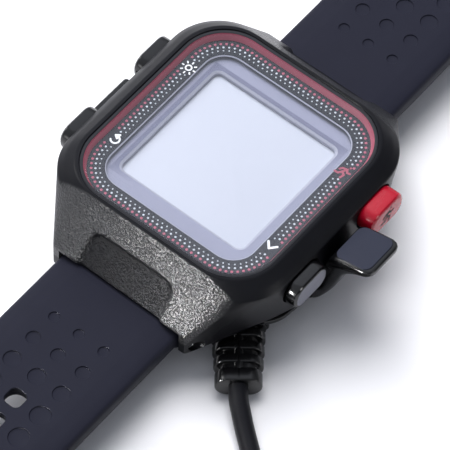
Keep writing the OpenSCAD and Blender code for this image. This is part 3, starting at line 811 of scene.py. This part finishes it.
def arc(r, start, end, n=12, at=(0, 0)):
    """Chain of points along an arc"""
    return [(at[0] + r * math.cos(math.radians(start + (end - start) * k / n)),
             at[1] + r * math.sin(math.radians(start + (end - start) * k / n))) for k in range(n + 1)]


sun = [arc(0.5, 0, 360)] + [[arc(0.98, a, a, 1)[0], arc(1.25, a, a, 1)[0]] for a in range(0, 360, 45)]
marks("mark_light", sun, 0.26, MARKS["sun"], FINISH["print_white"])
back_arrow = [
    arc(0.72, -150, 75, 12), [(-0.5, 0.72), (0.1, 1.15)], [(-0.5, 0.72), (0.1, 0.3)],
    [(0.1, 1.15), (0.1, 0.3)], [(-0.2, 0.72), (0.1, 0.72)]]
marks("mark_back", back_arrow, 0.3, MARKS["back"], FINISH["print_white"])
marks("mark_scroll", [[(-0.85, 0.5), (0, -0.5), (0.85, 0.5)]], 0.38, MARKS["down"], FINISH["print_white"])
RUNNER = [
    [(0.42, 1.02), (0.44, 1.04)],
    [(0.2, 0.62), (-0.15, -0.1)],
    [(0.2, 0.55), (-0.45, 0.42), (-0.7, 0.05)],
    [(0.22, 0.55), (0.5, 0.12), (0.9, 0.22)],
    [(-0.15, -0.1), (0.35, -0.42), (0.2, -1.05)],
    [(-0.15, -0.1), (-0.5, -0.6), (-1.05, -0.62)]]
marks("mark_run", RUNNER, 0.36, MARKS["runner"], FINISH["print_red"], 1.15)

# ---------- display ----------

section = [(0, 15.6), (0, 16.66), (0.06, 16.72), (2.75, 16.72), (2.78, 15.6)]
rings = []
for i, z in section:
    outline = rrect(PANEL_W - 2 * i, PANEL_L - 2 * i, 1.2) if i < 1 else rrect(24.9, 24.9, 1.5)
    rings.append([(x, y, z) for x, y in outline])
dress(Shape().loft(rings, True).make("display_panel"), FINISH["lcd"], "watch", ("lcd_panel",))
rings = []
for i, z in ((0, 16.74), (0.42, 16.5), (0.5, 16.0), (0, 16.0)):
    rings.append([(x, y, z) for x, y in rrect(25 - 2 * i, 25 - 2 * i, 1.6 - i, 8)])
dress(Shape().loft(rings, True).make("display_frame_step"), FINISH["lcd_edge"], "watch", ())
film = plate(24.6, 24.6, 1.2, edges(15.7, 15.86, 0.01, 0.05), 6).make("display_film")
dress(film, FINISH["lcd_picture"], "watch", ("lcd_polariser",))

# ---------- buttons ----------


def button(name, side, y, face_x, finish, face_finish):
    """Push button with a chamfered head, a flat face and its stem"""
    levels = [
        (21.12, 0.35), (21.2, 0.2), (21.4, 0.06), (21.6, 0), (face_x - 0.5, 0), (face_x - 0.3, 0.05),
        (face_x - 0.08, 0.25), (face_x, 0.42)]
    head = across_x(plate(BUTTON_L, BUTTON_H, BUTTON_R, levels, 8, (y, BUTTON_Z)), side)
    stem = rod_rings(1, [(17.85, 0.2), (18, 0), (21.3, 0)], "x", (0, y, BUTTON_Z))
    head.loft([[(side * px, py, pz) for px, py, pz in ring] for ring in stem])
    dress(head.make(name + "_button", 28), FINISH[finish], name, ("button_" + name,))
    levels = [(face_x - 0.05, 0), (face_x + 0.01, 0), (face_x + 0.02, 0.08)]
    face = across_x(plate(BUTTON_L - 1, BUTTON_H - 1, 1.75, levels, 8, (y, BUTTON_Z)), side)
    dress(face.make(name + "_button_face"), FINISH[face_finish], name, ())


button("light", -1, BUTTON_Y, BLACK_FACE, "button_black", "button_black")
button("back", -1, -BUTTON_Y, BLACK_FACE, "button_black", "button_black")
button("run", 1, BUTTON_Y, RED_FACE, "button_red", "button_red")
# The scroll button's face carries the grey painted reflection
button("scroll", 1, -BUTTON_Y, BLACK_FACE, "button_black", "button_face")


def on_run_button(x, y, z):
    """Point over the run button's face; z is the distance from the middle of the case"""
    return Vector((z, x + BUTTON_Y, y + BUTTON_Z))


runner = Shape()
for chain in RUNNER:
    for a, b in zip(chain, chain[1:]):
        a = (a[0] * 1.5, a[1] * 1.5)
        b = (b[0] * 1.5, b[1] * 1.5)
        top = RED_FACE + 0.045 - 0.001 * len(runner.points) / STROKE_POINTS
        runner.stroke(a, b, 0.42, RED_FACE + 0.01, top, on_run_button)
dress(runner.make("run_button_mark"), FINISH["print_black"], "run", ())

# ---------- straps ----------


# Thickness of the holed strap, and where it comes down onto the table
NEAR_T = 3
NEAR_DROP = (64, 90)
BARREL_R = 2.35
HOLE_W = 3
HOLE_MOUTH = 0.12


def strap_section(hw, top, low):
    """Cross section of a strap: flat middle, a facet towards each edge, round edges"""
    s = min(1.0, hw / 6)
    half = [
        (0, low), (hw * 0.5, low), (hw - 0.6 * s, low), (hw - 0.18 * s, low + 0.16 * s), (hw, low + 0.55 * s),
        (hw, top - 1.15 * s), (hw - 0.08 * s, top - 0.85 * s), (hw - 0.3 * s, top - 0.58 * s),
        (hw - 0.7 * s, top - 0.36 * s), (hw - 2.2 * s, top - 0.2 * s), (hw - 3.7 * s, top - 0.03 * s),
        (hw - 4.1 * s, top), (hw * 0.3, top), (0, top)]
    return half + [(-x, z) for x, z in reversed(half[1:-1])]


def strap(side, drop, low_z, end_t, stations, half_width, heights):
    """Strap that comes down to low_z along drop, where it is end_t thick"""
    rings = []
    for y in stations:
        t = soft_ramp(*drop, y)
        top = STRAP_TOP + (low_z + end_t - STRAP_TOP) * t
        low = STRAP_LOW + (low_z - STRAP_LOW) * t
        top, low = heights(y, top, low)
        rings.append([(x, side * y, z) for x, z in strap_section(half_width(y), top, low)])
    return Shape().loft(rings)


def barrel(y, top, low):
    """Round end about the lug pin"""
    d = y - LUG_PIN_Y
    if abs(d) < BARREL_R:
        h = math.sqrt(BARREL_R ** 2 - d * d)
        low = min(low, LUG_PIN_Z - h) if d > 0 else LUG_PIN_Z - h
        top = LUG_PIN_Z + h if d < 0 else top - 0.05 * (1 - clamp(d / 2))
    return top, low


def hole_rings(y, top, low):
    """Hole through the holed strap, wider below and with an opened mouth"""
    levels = [
        (low - 1, -0.9), (top - 1.5, -0.8), (top - 1.1, -0.1), (top - 0.9, 0), (top - HOLE_MOUTH, 0),
        (top, -HOLE_MOUTH), (top + 1, -HOLE_MOUTH)]
    return plate_rings(HOLE_W, HOLE_W, 1, levels, 5, (0, y))


def dimples(cut, side, rows):
    """Rows of round dimples, growing away from the case; each row names its columns"""
    levels = [
        (STRAP_TOP - 0.22, 0.22), (STRAP_TOP - 0.2, 0.08), (STRAP_TOP - 0.14, 0.02), (STRAP_TOP - 0.05, 0),
        (STRAP_TOP, -0.04), (STRAP_TOP + 1, -0.04)]
    for i, columns in enumerate(rows):
        y = side * (DIMPLE_START + DIMPLE_PITCH * i)
        for column in columns:
            at = (column * DIMPLE_PITCH, y, 0)
            cut.loft(rod_rings(min(1.8 + 0.55 * i, 3.4) / 2, levels, "z", at, 28))


def taper(y):
    """Half the width of a strap"""
    return (STRAP_W + (STRAP_END_W - STRAP_W) * soft_ramp(60, 80, y)) / 2


# Distances from the middle of the watch at which a strap's section is placed
start = [22.62, 22.8, 23.1, 23.5, 24, 24.5, 24.9, 25.4, 25.9, 26.3, 26.7, 27.1, 28, 30]
even = [32 + 1.5 * k for k in range(49)]
tip_r = 10.3
tip_y = STRAP_TIP - tip_r
tip = [106 + 2.5 * k for k in range(12)]
tip += [tip_y + tip_r * math.sin(math.radians(a)) for a in (*range(0, 92, 4), 89)]


def near_width(y):
    return taper(y) if y <= tip_y else max(math.sqrt(max(tip_r ** 2 - (y - tip_y) ** 2, 0)), 0.2)


near = strap(-1, NEAR_DROP, 0, NEAR_T, start + even + tip, near_width, barrel).make("strap_holed", 25)
cut = Shape()
dimples(cut, -1, [(-1, 0, 1)] * 3 + [(-1, 1)] * 2)
for i in range(3, 20):
    y = DIMPLE_START + DIMPLE_PITCH * i
    t = soft_ramp(*NEAR_DROP, y)
    cut.loft(hole_rings(-y, STRAP_TOP + (NEAR_T - STRAP_TOP) * t, STRAP_LOW * (1 - t)))
dress(carve(near, [cut.make("cut")], smooth=25), FINISH["strap"], "strap_near", ("strap_near",))


def far_heights(y, top, low):
    """Round ends about the lug pin and about the buckle's pin"""
    top, low = barrel(y, top, low)
    d = y - BUCKLE_Y
    if abs(d) < 2:
        h = math.sqrt(4 - d * d)
        low = BUCKLE_Z - h if d > 0 else min(low, BUCKLE_Z - h)
        top = max(top, BUCKLE_Z + h) if d < 0 else BUCKLE_Z + h
    return top, low


finish_y = [104.1, 104.4, 104.8, 105.2, 105.6, 106, 106.4, 106.8, 107.2, 107.5, 107.75, 107.9]
far = strap(1, (56, 80), 1.6, 2.8, start + even[:48] + finish_y, taper, far_heights)
far = far.make("strap_buckle", 25)
cut = Shape()
dimples(cut, 1, [(-1, 0, 1)] * 4)
cut.loft(plate_rings(3.2, 8.4, 0.8, [(-1, 0), (9, 0)], 4, (0, BUCKLE_Y + 0.8)))
dress(carve(far, [cut.make("cut")], smooth=25), FINISH["strap"], "strap_far", ("strap_far",))


def keeper(name, body, node):
    """Rounded loop around the strap"""
    w, _, h = size(node)
    _, y, z = middle(node)
    section = [
        (0.5, -2), (0.2, -1.93), (0.05, -1.75), (0, -1.5), (0, 1.5), (0.05, 1.75), (0.2, 1.93), (0.5, 2),
        (1.2, 2), (1.36, 1.9), (1.4, 1.7), (1.4, -1.7), (1.36, -1.9), (1.2, -2)]
    rings = []
    for i, s in section:
        outline = rrect(w - 2 * i, h - 2 * i, max(1.8 - i, 0.6), 6)
        rings.append([(u, y + s, z + v) for u, v in outline])
    dress(Shape().loft(rings, True).make(name), FINISH["strap"], body, (node,))


keeper("keeper_loop_fixed", "strap_far", "keeper_fixed")
keeper("keeper_loop_free", "keeper", "keeper_free")

# ---------- buckle ----------


def swept(path, half_w, half_h, r):
    """Round-edged bar along a level path"""
    rings = []
    count = len(path)
    outline = rrect(2 * half_w, 2 * half_h, r, 3)
    for k, p in enumerate(path):
        p = Vector(p)
        step = Vector(path[min(k + 1, count - 1)]) - Vector(path[max(k - 1, 0)])
        side = Vector((step.y, -step.x, 0)).normalized()
        shrink = 0.82 if k in (0, count - 1) else 1.0
        rings.append([p + side * u * shrink + Vector((0, 0, v * shrink)) for u, v in outline])
    return Shape().loft(rings)


bow = [(12.4, y) for y in (104.4, 104.65, 108, 112, 116)]
bow += arc(2.6, 0, 90, 8, (9.8, 116.4))
bow += [(5, 119), (0, 119)]
bow += [(-x, y) for x, y in reversed(bow[:-1])]
bow = [(x, y, BUCKLE_Z) for x, y in bow]
dress(swept(bow, 1.2, 1.25, 0.6).make("buckle_bow"), FINISH["steel"], "buckle", ("buckle_frame",))
blade = [
    (104.3, 3.3), (104.6, 3.45), (107, 3.5), (112, 3.5), (115.5, 3.6), (117, 4.2), (118, 4.4),
    (120.3, 4.4), (120.55, 4.38)]
tongue = swept([(0, y, z) for y, z in blade], 1.08, 0.5, 0.3)
tongue.loft(rod_rings(1.7, edges(-1.2, 1.2, 0.15, 0.15, 3), "x", (0, BUCKLE_Y, BUCKLE_Z)))
dress(tongue.make("buckle_tongue_bar"), FINISH["steel"], "tongue", ("buckle_tongue",))

# ---------- jaw lever ----------

LEVER = [
    (18, 1.2), (19.8, 1.45), (21, 2.2), (22.2, 4.3), (23.3, 6.6), (24.3, 9), (24.9, 11.2), (25.6, 13.4),
    (26.8, 14.9), (28.5, 16.2), (30.55, 17.0), (30.72, 17.45), (30.62, 18.0), (30.2, 18.22), (23.6, 16.55),
    (22.6, 15), (22.15, 13), (22.1, 8), (21.6, 6.4), (20.6, 5.05), (18, 4.6)]
side_view = rounded(LEVER, 2)


def lever_half(x):
    """Half the width of the lever at x; the paddle's end is round"""
    return 2.3 + math.sqrt(max(1.7 ** 2 - max(x - 29, 0) ** 2, 0.01))


def both_ends(*levels):
    """Levels (distance from the middle, inset) of one end, and then those of the other end"""
    return [(-y, i) for y, i in levels] + [(y, i) for y, i in reversed(levels)]


rings = []
for y, i in both_ends((4, 0.4), (3.93, 0.2), (3.75, 0.06), (3.45, 0)):
    rings.append([(p.x, y * lever_half(p.x) / 4, p.y) for p in inset(side_view, i)])
lever = Shape().loft(rings)
lever.loft(rod_rings(2, edges(-4, 4, 0.2, 0.2, 2), "y", (LEVER_X, 0, LEVER_Z)))
dress(lever.make("clip_jaw_lever", 38), FINISH["clip"], "lever", ("clip_lever",))
pad = plate(6.7, 7.2, 1.35, edges(-0.4, 0.14, 0.05, 0.12), 8, (-0.35, 0))
pad.moved(Matrix.Translation((26.95, 0, 17.37)) @ Matrix.Rotation(math.radians(-14.4), 4, "Y"))
dress(pad.make("lever_pad_inlay"), FINISH["lever_pad"], "lever", ("lever_pad",))

# ---------- strain relief ----------


def relief_step(shape, start, end, w, h, r, edge=0.18):
    """Round-edged block of the strain relief, from start to end along the cord"""
    rings = []
    for x, i in edges(start, end, edge, edge, 3):
        rings.append([(x, u, v) for u, v in rrect(w - 2 * i, h - 2 * i, r - i, 8)])
    shape.loft(rings)


relief = Shape()
relief_step(relief, -11, -0.02, 6.2, 3.9, 1.9)
relief_step(relief, -14, -10.9, 7.6, 2.4, 1)
relief_step(relief, -11, -0.05, 1.7, 4.6, 0.8, 0.1)
relief_step(relief, -2.4, 0, 7.4, 4.6, 2.2, 0.3)
for i in range(3):
    relief_step(relief, -4.8 - 2.4 * i, -3.3 - 2.4 * i, 7.8 + 0.3 * i, 4.6, 2.2, 0.22)
relief_step(relief, -11, -10.5, 8.7, 4.6, 2.2, 0.15)
relief.moved(Matrix.Translation((*RELIEF_AT, 2.7)) @ RELIEF_TURN)
dress(relief.make("cord_relief", 35), FINISH["clip"], "clip", ("strain_relief",))

# ---------- clip base ----------

levels = [(1.2, 2.75), (1.35, 2.62), (3.9, 0.35), (4.2, 0.1), (4.5, 0), (4.95, 0), (5.12, 0.07), (5.2, 0.25)]
rings = []
for z, i in levels:
    rings.append([(x, y, z) for x, y in rrect(BASE_W - 2 * i, BASE_L - 2 * i, 6 - 1.2 * i, 12)])
base = Shape().loft(rings).make("clip_base_shell")
ears = plate(10, 16, 0.8, edges(1.25, 5.0, 0.4, 0.3, 3), 6, (14.6, 0)).make("cut")
JAW = [
    (-19, 5.1), (-20.6, 5.1), (-22.12, 9.2), (-22.12, 12.3), (-22.5, 12.88), (-23.9, 12.88),
    (-24.38, 12.2), (-24.25, 2.9), (-22.8, 1.25), (-19, 1.3)]
jaw_view = rounded(JAW, 2)
rings = []
for y, i in both_ends((4, 0.35), (3.92, 0.16), (3.7, 0.04), (3.4, 0)):
    rings.append([(q.x, y, q.y) for q in inset(jaw_view, i)])
jaw = Shape().loft(rings).make("cut")
boss = Shape()
relief_step(boss, -20, -11.05, 9.6, 3.7, 1.2, 0.3)
boss.moved(Matrix.Translation((*RELIEF_AT, 3.1)) @ RELIEF_TURN)
carve(base, [ears, jaw, boss.make("cut")], "UNION")
# Openings for the contacts and the lever, and the hollow for the board
through = [(0, 0), (4.9, 0), (5.1, -0.1), (7, -0.1)]
hollow = [
    plate(14.6, 4.8, 0.3, through, 4, (0, -9)),
    plate(30, 21, 1, [(0, 0), (3.7, 0)], 4, (-1.6, 0)),
    plate(14, 8.7, 0.3, through, 4, (23.3, 0))]
hollow = [shape.make("cut") for shape in hollow]
dress(carve(base, hollow), FINISH["clip"], "clip", ("clip_base",))
cover = plate(BASE_W - 5.5, BASE_L - 5.5, 2.6, edges(0, 1.18, 0.3, 0.1, 3), 8).make("clip_cover_plate")
dress(cover, FINISH["clip"], "clip", ("clip_cover",))

# ---------- plug grip ----------

PLUG_AT = TAIL[-1]
# Distance from the cord's end, width and height of each ring: a ribbed sleeve, then the ribbed grip
profile = [(0.02, 4.3, 4.3), (0.3, 4.6, 4.6)]
for k in range(3):
    for step, more in ((0, 0), (0.25, -0.7), (0.75, -0.65), (1.0, 0.25)):
        wide = 4.9 + 0.5 * k + more
        profile.append((1.2 + 2.1 * k + step, wide, wide))
profile += [(7.6, 6.4, 6.3), (8.2, 8.4, 6.7), (9, 12, 7.4), (10, 14, 7.9), (11.4, 14.6, 8)]
for k in range(4):
    for step, w, h in ((0, 14.6, 8), (0.35, 14.0, 7.95), (1.0, 13.9, 7.95), (1.35, 14.6, 8)):
        profile.append((13.5 + 2.2 * k + step, w, h))
profile += [(28.6, 14.6, 8), (29.5, 14.3, 7.7), (29.98, 13.6, 7.0)]
rings = []
for along, w, h in profile:
    r = min(w, h) / 2 * 0.96 if w < 8 else 2.4
    rings.append([(PLUG_AT[0] + u, PLUG_AT[1] - along, PLUG_AT[2] + v) for u, v in rrect(w, h, r, 8)])
grip = Shape().loft(rings).make("plug_grip")
opening = rrect(12.05, 4.55, 0.3, 4)
rings = [[(PLUG_AT[0] + u, PLUG_AT[1] - along, PLUG_AT[2] + v) for u, v in opening] for along in (26, 32)]
mouth = Shape().loft(rings).make("cut")
dress(carve(grip, [mouth]), FINISH["cord"], "clip", ("usb_grip",))

# Polished ends of the strap pins, seen as rings in the lugs
RIMS = {"right_near": (1, -1), "right_far": (1, 1), "left_near": (-1, -1), "left_far": (-1, 1)}
round_turn = [2 * math.pi * j / 28 for j in range(28)]
for name, (side, end) in RIMS.items():
    rings = []
    for k in range(12):
        a = 2 * math.pi * k / 12
        r = 0.84 + 0.2 * math.cos(a)
        x = side * (13.12 + 0.2 * math.sin(a))
        y = end * LUG_PIN_Y
        rings.append([(x, y + r * math.cos(t), LUG_PIN_Z + r * math.sin(t)) for t in round_turn])
    ring = Shape().loft(rings, True).make("pin_rim_" + name)
    dress(ring, FINISH["steel"], "watch", ())

# ---------- CAD pieces that stay as they are ----------

KEPT = {
    "backlight": "light_guide", "main_board": "board", "gps_antenna": "ceramic", "battery": "foil",
    "buzzer": "steel", "tact_switches": "steel", "case_back": "case", "back_seal": "seal",
    "back_screws": "steel", "charge_contacts": "gold", "button_seals": "seal",
    "strap_pin_near": "steel", "strap_pin_far": "steel",
    "clip_light": "steel", "clip_back": "steel", "clip_run": "steel", "clip_scroll": "steel",
    "buckle_pin": "steel", "clip_screws": "steel",
    "clip_board": "board", "contact_block": "component", "contact_barrels": "gold",
    "contact_springs": "steel", "contact_pins": "gold", "lever_pin": "steel", "lever_spring": "steel",
    "usb_shell": "steel", "usb_insert": "plug_insert"}
for node, finish in KEPT.items():
    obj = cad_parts[node]
    obj.data.materials.clear()
    obj.data.materials.append(FINISH[finish])
    bevel = obj.modifiers.new("soft_edges", "BEVEL")
    bevel.width = 0.12 * MM
    bevel.segments = 2
    bevel.limit_method = "ANGLE"
    bevel.angle_limit = math.radians(40)
    bevel.harden_normals = True

# ---------- floor and light ----------

# Metres from here on
FLOOR_Z = -0.0002
floor_mesh = bpy.data.meshes.new("floor")
corners = [(x, y, FLOOR_Z) for x, y in ((-3, -3), (3, -3), (3, 3), (-3, 3))]
floor_mesh.from_pydata(corners, [], [(0, 1, 2, 3)])
floor = bpy.data.objects.new("floor", floor_mesh)
scene.collection.objects.link(floor)
floor_mesh.materials.append(moulded("floor", "#f1f1f5", 0.75, 3.0, 0.01, tint=0.01))

world = bpy.data.worlds.new("studio")
scene.world = world
world.use_nodes = True
studio = world.node_tree.nodes
ray = studio.new("ShaderNodeTexCoord")
lean = studio.new("ShaderNodeVectorMath")
lean.operation = "DOT_PRODUCT"
lean.inputs[1].default_value = (-0.75, -0.1, 0.65)
world.node_tree.links.new(ray.outputs["Generated"], lean.inputs[0])
glow = studio.new("ShaderNodeMapRange")
for name, value in (("From Min", -0.5), ("From Max", 0.9), ("To Min", 0.12), ("To Max", 0.75)):
    glow.inputs[name].default_value = value
world.node_tree.links.new(lean.outputs["Value"], glow.inputs["Value"])
world.node_tree.links.new(glow.outputs["Result"], studio["Background"].inputs["Strength"])
studio["Background"].inputs["Color"].default_value = (0.88, 0.92, 1.0, 1)


def soft_box(name, place, aim, w, h, power, colour=(1, 1, 1)):
    """Rectangular light at place, turned towards aim"""
    data = bpy.data.lights.new(name, "AREA")
    data.shape = "RECTANGLE"
    data.size = w
    data.size_y = h
    data.energy = power
    data.color = colour
    obj = bpy.data.objects.new(name, data)
    scene.collection.objects.link(obj)
    obj.location = place
    obj.rotation_euler = (Vector(aim) - Vector(place)).to_track_quat("-Z", "Y").to_euler()
    return obj


key = soft_box("key", (-0.26, 0.2, 0.85), (0, 0, 0.01), 0.6, 0.6, 8.8, (1.0, 0.99, 0.98))
key.visible_glossy = False
back = soft_box("back", (-0.55, 0.28, 0.42), (0, 0, 0.01), 0.45, 0.45, 3.4, (1.0, 0.98, 0.97))
back.visible_glossy = False
glint = soft_box("glint", (-0.62, -0.12, 0.5), (0, 0, 0.01), 0.25, 0.25, 1.2)
glint.visible_diffuse = False
rim = soft_box("rim", (0.6, 0.05, 0.22), (0, 0, 0.01), 0.15, 0.2, 0.6)
rim.visible_diffuse = False
sky = soft_box("sky", (-0.3, 0.4, 0.75), (0, 0, 0.01), 0.8, 0.8, 1.0, (0.84, 0.88, 1.0))
sky.visible_diffuse = False
front = soft_box("front", (-0.22, -0.73, 0.2), (0, -0.02, 0.01), 0.4, 0.25, 0.8)
front.visible_diffuse = False
sheen = soft_box("sheen", (-0.022, -0.134, 0.04), (0.015, -0.024, 0.014), 0.025, 0.025, 0.008)
sheen.data.spread = math.radians(22)
sheen.visible_diffuse = False
